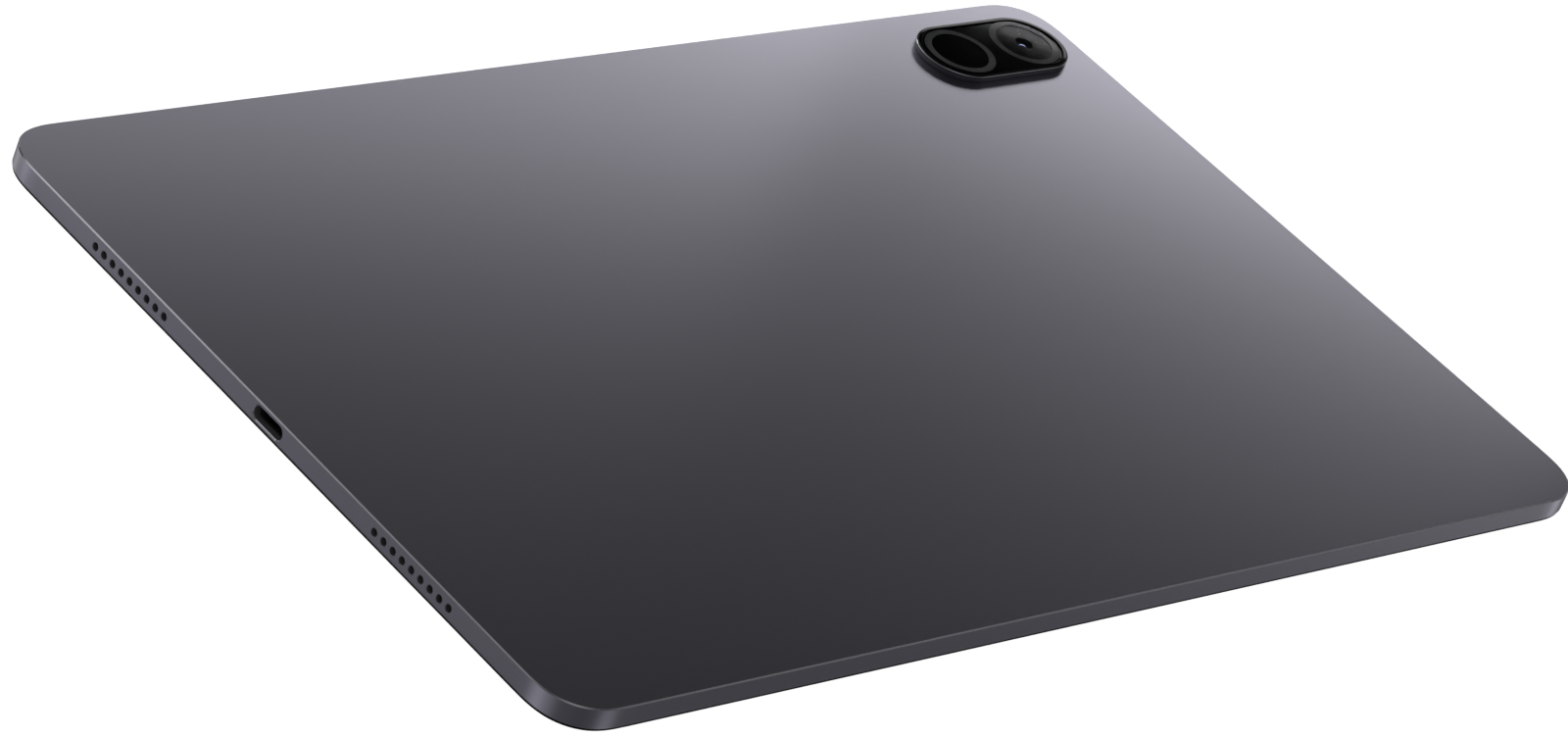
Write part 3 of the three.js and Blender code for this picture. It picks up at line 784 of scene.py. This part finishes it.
build_island_frame()
build_island_glass()
build_deco_plate()
build_ring("camera_ring_blank")
build_ring("camera_ring_lens")
build_barrel()
build_lens()


# ---------------------------------------------------------------- charging port
def port_pill(node, x, inset=0):
    """A ring at x that follows a port piece's pill-shaped outline."""
    low, high = box_mm(node)
    half_y, half_z = (high.y - low.y) / 2, (high.z - low.z) / 2
    return facing_x(pill(half_y - inset, half_z - inset, PORT_STEPS), x, (0, PORT_Z))


def build_port_shell():
    low, high = box_mm("usb_c_shell")
    wall = PORT_SHELL_WALL
    stations = [
        (0, low.x + 0.1), (0, high.x), (wall, high.x), (wall, low.x + 0.12),
        (wall - 0.05, low.x + 0.02), (0.05, low.x + 0.01),
    ]
    shape = Shape()
    shape.loft([port_pill("usb_c_shell", x, inset) for inset, x in stations], closed=True)
    piece = shape.to_object("port_shell", [steel.material])
    finish_piece(piece, ["usb_c_shell"])


def contact_shape(tip_x):
    """The gold contacts on both faces of the tongue, which carry the tongue's second material."""
    shape = Shape()
    for side in (-1, 1):
        surface_z = PORT_Z + side * TONGUE_HALF_THICKNESS
        z_low, z_high = sorted((surface_z - side * 0.05, surface_z + side * 0.03))
        for i in range(CONTACTS):
            y = (i - (CONTACTS - 1) / 2) * CONTACT_PITCH
            setback = 0.35 if i in LONG_CONTACTS else 0.6
            centre = (tip_x + setback + CONTACT_HALF_LENGTH, y)
            outline = rectangle(CONTACT_HALF_LENGTH, CONTACT_HALF_WIDTH)
            shape.loft([level(outline, z, centre) for z in (z_low, z_high)], slots=[1])
    return shape


def build_port_tongue():
    low, high = box_mm("usb_c_tongue")
    root = low.x + TONGUE_REACH
    stations = [(0.22, low.x), (0.08, low.x + 0.06), (0, low.x + 0.2), (0, root + 0.1)]
    rings = []
    for inset, x in stations:
        half_thickness = TONGUE_HALF_THICKNESS - inset * 0.6
        outline = rounded_rectangle(TONGUE_HALF_WIDTH - inset, half_thickness, 0.1, 3)
        rings.append(facing_x(outline, x, (0, PORT_Z)))
    shape = Shape()
    shape.loft(rings)
    tongue = shape.to_object("port_tongue", [satin_black.material, gold.material])
    base = Shape()
    base.loft([port_pill("usb_c_tongue", x) for x in (root, high.x)])
    boolean(tongue, base, "UNION")
    boolean(tongue, contact_shape(low.x), "UNION")
    finish_piece(tongue, ["usb_c_tongue"])


build_port_shell()
build_port_tongue()


# ---------------------------------------------------------------- buttons
def build_button(name, node, body, cap, flange, facing, face, along, flange_back, nubs):
    """A key in its wall: face is the wall's outer face and along the key's place on it.

    The nubs behind it press the switches, each this far from the key's middle.
    """
    centre = (along, PORT_Z)
    flange_front = flange_back + FLANGE_THICKNESS
    fillet_start = face + KEY_PROUD - KEY_FILLET
    stations = [
        (flange, flange_back, FLANGE_ROUNDING), (flange, flange_back + FLANGE_ROUNDING, 0),
        (flange, flange_front - FLANGE_ROUNDING, 0), (flange, flange_front, FLANGE_ROUNDING),
        (cap, flange_front + 0.001, 0), (cap, fillet_start, 0),
    ]
    for turn in (22.5, 45, 67.5, 90):
        angle = math.radians(turn)
        depth = fillet_start + KEY_FILLET * math.sin(angle)
        stations.append((cap, depth, KEY_FILLET * (1 - math.cos(angle))))
    rings = [
        facing(pill(size[0] - inset, size[1] - inset, SLOT_STEPS), place, centre)
        for size, place, inset in stations
    ]
    shape = Shape()
    shape.loft(rings)
    key = shape.to_object(name, [anodised.material])
    tool = Shape()
    nub_places = (flange_back - 0.35, flange_back + 0.05)
    for offset in nubs:
        spot = (along + offset, PORT_Z)
        tool.loft([facing(rectangle(1.1, 0.7), place, spot) for place in nub_places])
    boolean(key, tool, "UNION")
    finish_piece(key, [node], body)


build_button(
    "power_key", "power_button", "power_key", POWER_CAP, POWER_FLANGE, facing_x, HALF_X,
    centre_mm("power_button").y, HALF_X - WALL - POWER_FLANGE_DEPTH, (0,),
)
build_button(
    "volume_key", "volume_rocker", "volume_key", VOLUME_CAP, VOLUME_FLANGE, facing_y, HALF_Y,
    centre_mm("volume_rocker").x, HALF_Y - WALL - VOLUME_FLANGE_DEPTH,
    (-VOLUME_NUB_REACH, VOLUME_NUB_REACH),
)


# ---------------------------------------------------------------- inner parts
def circuit_material():
    """Green board with a fine brick pattern of traces."""
    surface = Surface("circuit_board", (0.008, 0.05, 0.035), 0.45)
    bricks = surface.node("ShaderNodeTexBrick")
    bricks.inputs["Scale"].default_value = 260
    bricks.inputs["Mortar Size"].default_value = 0.012
    bricks.inputs["Color1"].default_value = (0.007, 0.045, 0.032, 1)
    bricks.inputs["Color2"].default_value = (0.012, 0.065, 0.045, 1)
    bricks.inputs["Mortar"].default_value = (0.12, 0.085, 0.03, 1)
    surface.link(surface.place, bricks.inputs["Vector"])
    surface.link(bricks.outputs["Color"], surface.shader.inputs["Base Color"])
    surface.uneven(300, 0.08)
    return surface.bump(bricks.outputs["Fac"], 0.01)


def flex_material():
    """Copper film with fine stripes."""
    surface = Surface("flex_copper", (0.35, 0.14, 0.03), 0.35)
    wave = surface.node("ShaderNodeTexWave")
    wave.inputs["Scale"].default_value = 600
    surface.link(surface.place, wave.inputs["Vector"])
    tone = surface.remap(wave.outputs["Fac"], 0, 1, 0.35, 0.65)
    surface.link(
        surface.blend(tone, (0.3, 0.12, 0.025), (0.5, 0.22, 0.06)),
        surface.shader.inputs["Base Color"],
    )
    return surface.uneven(300, 0.06)


def mesh_material():
    """Fine black woven mesh behind the speaker holes."""
    surface = Surface("speaker_mesh", (0.05, 0.05, 0.052), 0.5, 0.2)
    cells = surface.node("ShaderNodeTexVoronoi")
    cells.inputs["Scale"].default_value = 5000
    surface.link(surface.place, cells.inputs["Vector"])
    tone = surface.remap(cells.outputs["Distance"], 0, 1, 0.2, 0.7)
    surface.link(
        surface.blend(tone, (0.012, 0.012, 0.013), (0.09, 0.09, 0.094)),
        surface.shader.inputs["Base Color"],
    )
    return surface.bump(cells.outputs["Distance"], 0.04)


# The arguments of simple() for each material slot of the inner pieces
INNER_LOOKS = {
    "panel_glass": ("display_cell", (0.012, 0.013, 0.016), 0.12, 0.0, (40, 0.2), (60, 0.04)),
    "clear_plastic": ("light_guide", (0.75, 0.78, 0.8), 0.25, 0.0, (900, 0.1), (400, 0.08)),
    "white_board": ("led_board", (0.7, 0.71, 0.69), 0.4, 0.0, (500, 0.08), (400, 0.06)),
    "bright_steel": ("stamped_steel", (0.5, 0.5, 0.51), 0.32, 1.0, (400, 0.1), (600, 0.1)),
    "cell_foil": ("cell_foil", (0.07, 0.072, 0.08), 0.36, 0.8, (60, 0.15), (120, 0.1)),
    "graphite": ("graphite_film", (0.03, 0.03, 0.033), 0.5, 0.3, (200, 0.2), (200, 0.1)),
    "antenna_brass": ("antenna_brass", (0.6, 0.42, 0.17), 0.3, 1.0, (400, 0.1), (400, 0.08)),
    "camera_metal": ("camera_can", (0.08, 0.08, 0.085), 0.4, 1.0, (400, 0.1), (400, 0.08)),
    "magnet_nickel": ("magnet_nickel", (0.55, 0.53, 0.5), 0.22, 1.0, (300, 0.06), (300, 0.06)),
    "black_plastic": ("moulded_black", (0.014, 0.014, 0.015), 0.45, 0.0, (300, 0.2), (400, 0.08)),
}
BY_SLOT = {slot: simple(*look) for slot, look in INNER_LOOKS.items()}
BY_SLOT["circuit_board"] = circuit_material()
BY_SLOT["flex_copper"] = flex_material()
BY_SLOT["cell_foil"].grain(350, 0.04, (1, 3, 1))
BY_SLOT["bright_steel"].grain(2500, 0.003, (1, 12, 1))
BY_SLOT["graphite"].grain(900, 0.01)
BY_SLOT["black_plastic"].grain(3000, 0.004)
SPEAKER_MESH = mesh_material()


def dress_inner_parts():
    """Gives each CAD node the material of its slot in the record, and softened edges."""
    slots = {part["node"]: part["material_slot"] for part in frame["record"]["subparts"]}
    for name, obj in frame["nodes"].items():
        surface = BY_SLOT.get(slots[name], BY_SLOT["black_plastic"])
        if name.startswith("speaker_mesh"):
            surface = SPEAKER_MESH
        obj.data.materials.clear()
        obj.data.materials.append(surface.material)
        bevel = obj.modifiers.new("edges", "BEVEL")
        bevel.width = INNER_BEVEL * MM
        bevel.segments = 2
        bevel.limit_method = "ANGLE"
        bevel.angle_limit = math.radians(INNER_BEVEL_ANGLE)


dress_inner_parts()


# ---------------------------------------------------------------- floor, light, camera
FLOOR_RADIUS = 15
FLOOR_STEPS = 64
FLOOR_DROP = 0.00002  # metres below the glass, so that the two never coincide
FLOOR_GLOW = 1.0
AMBIENT = 0.03
BACKDROP_GLOW = 1.1

# Soft pools of light round the tablet: azimuth from +X, elevation, width and strength. Those below
# the horizon stand for the white table's bounce, which the sides of the tablet mirror.
POOLS = (
    (92, -17, 10, 2.3),
    (126, -19, 6.5, 4.2),
    (340, -17, 6.5, 4.4),
    (160, -38, 7, 1.3),
    (305, -46, 6.5, 2.6),
    (236, -62, 24, 0.2),
    (182, -42, 10, 0.6),
    (133, 40, 14, 0.3),
    (316, 14, 12, 0.55),
    (238, 55, 18, 0.35),
    (45, -18, 12, 0.8),
    (225, -14, 12, 0.2),
    (0, -4, 12, 0.7),
    (270, -4, 12, 0.6),
    (180, 8, 14, 0.5),
)

# The camera stands this far from its target, in metres, and this many degrees round and up.
CAMERA_TARGET = (-0.016545, -0.008518, 0.003)
CAMERA_DISTANCE = 1.22788
CAMERA_AZIMUTH = -52.2226
CAMERA_ELEVATION = 29.5992
CAMERA_ROLL = 22.4756
FOCAL_LENGTH = 147.755
SENSOR_WIDTH = 36


def look_along(direction, roll=0.0):
    """The turn that points a lamp or the camera along a direction."""
    turn = direction.to_track_quat("-Z", "Y")
    return turn @ Quaternion((0, 0, 1), roll)


def make_floor():
    """A white floor that takes no part in reflections: the pools of light stand in for it."""
    mesh = bpy.data.meshes.new("floor")
    shape = bmesh.new()
    rim = [shape.verts.new((x, y, -FLOOR_DROP)) for x, y in circle(FLOOR_RADIUS, FLOOR_STEPS)]
    shape.faces.new(rim)
    shape.to_mesh(mesh)
    shape.free()
    floor = bpy.data.objects.new("floor", mesh)
    scene.collection.objects.link(floor)
    surface = simple(
        "pale_floor", (0.45, 0.45, 0.45), 0.9, 0.0, (3, 0.01), (5, 0.02), Specular_IOR_Level=0.0
    )
    glow = surface.node("ShaderNodeEmission")
    glow.inputs["Strength"].default_value = FLOOR_GLOW
    total = surface.node("ShaderNodeAddShader")
    surface.link(glow.outputs[0], total.inputs[0])
    surface.link(surface.shader.outputs[0], total.inputs[1])
    surface.link(total.outputs[0], surface.tree.nodes["Material Output"].inputs["Surface"])
    floor.visible_glossy = False
    floor.visible_diffuse = False
    floor.visible_shadow = False
    mesh.materials.append(surface.material)


def softbox(name, stand, width, height, radiance):
    """An upright rectangular light facing the tablet.

    stand is its azimuth from +X, its distance, how far it stands to the right seen from the
    tablet, and the height of its middle.
    """
    azimuth, distance, right, height_above = stand
    a = math.radians(azimuth)
    away = Vector((math.cos(a), math.sin(a), 0))
    side = Vector((away.y, -away.x, 0))
    data = bpy.data.lights.new(name, "AREA")
    data.shape = "RECTANGLE"
    data.size = width
    data.size_y = height
    watts_per_radiance = 4  # for each square metre of an area light
    data.energy = watts_per_radiance * radiance * width * height
    lamp = bpy.data.objects.new(name, data)
    lamp.location = away * distance + side * right + Vector((0, 0, height_above))
    lamp.rotation_mode = "QUATERNION"
    lamp.rotation_quaternion = look_along(-away)
    lamp.visible_camera = False
    scene.collection.objects.link(lamp)


def pool_strength(tree, place, azimuth, elevation, width, strength):
    """A pool's strength in the direction of place: a soft round spot this many degrees wide."""
    a, e = math.radians(azimuth), math.radians(elevation)
    aim = (math.cos(a) * math.cos(e), math.sin(a) * math.cos(e), math.sin(e))
    dot = tree.nodes.new("ShaderNodeVectorMath")
    dot.operation = "DOT_PRODUCT"
    dot.inputs[1].default_value = aim
    tree.links.new(place, dot.inputs[0])
    fall = math_node(tree, "SUBTRACT", dot.outputs["Value"], 1)
    spread = math_node(tree, "DIVIDE", fall, math.radians(width) ** 2)
    return math_node(tree, "MULTIPLY", math_node(tree, "EXPONENT", spread), strength)


def make_world():
    """Pools of light for all that the tablet mirrors, and plain white for the camera."""
    world = bpy.data.worlds.new("studio")
    scene.world = world
    world.use_nodes = True
    tree = world.node_tree
    place = tree.nodes.new("ShaderNodeTexCoord").outputs["Generated"]
    total = AMBIENT
    for pool in POOLS:
        total = math_node(tree, "ADD", pool_strength(tree, place, *pool), total)
    studio = tree.nodes["Background"]
    studio.inputs["Color"].default_value = (0.98, 0.98, 1.0, 1)
    tree.links.new(total, studio.inputs["Strength"])
    backdrop = tree.nodes.new("ShaderNodeBackground")
    backdrop.inputs["Color"].default_value = (1, 1, 1, 1)
    backdrop.inputs["Strength"].default_value = BACKDROP_GLOW
    mix = tree.nodes.new("ShaderNodeMixShader")
    path = tree.nodes.new("ShaderNodeLightPath")
    tree.links.new(path.outputs["Is Camera Ray"], mix.inputs[0])
    tree.links.new(studio.outputs[0], mix.inputs[1])
    tree.links.new(backdrop.outputs[0], mix.inputs[2])
    tree.links.new(mix.outputs[0], tree.nodes["World Output"].inputs["Surface"])


def make_camera():
    azimuth, elevation = math.radians(CAMERA_AZIMUTH), math.radians(CAMERA_ELEVATION)
    back = Vector((
        math.sin(azimuth) * math.cos(elevation),
        -math.cos(azimuth) * math.cos(elevation),
        math.sin(elevation),
    ))
    data = bpy.data.cameras.new("camera")
    data.sensor_width = SENSOR_WIDTH
    data.lens = FOCAL_LENGTH
    data.clip_start = 0.05
    data.clip_end = 100
    camera = bpy.data.objects.new("camera", data)
    camera.location = Vector(CAMERA_TARGET) + back * CAMERA_DISTANCE
    camera.rotation_mode = "QUATERNION"
    camera.rotation_quaternion = look_along(-back, math.radians(CAMERA_ROLL))
    scene.collection.objects.link(camera)
    scene.camera = camera


make_floor()
make_world()
make_camera()
softbox("rim", (38, 0.46, -0.21, 0.1312), 0.85, 0.0625, 3.1)
softbox("long_side", (76, 0.25, -0.02, 0.098), 0.38, 0.105, 0.52)
softbox("far_corner", (137, 0.43, 0, 0.22), 0.13, 0.16, 0.5)
scene.view_settings.view_transform = "Standard"
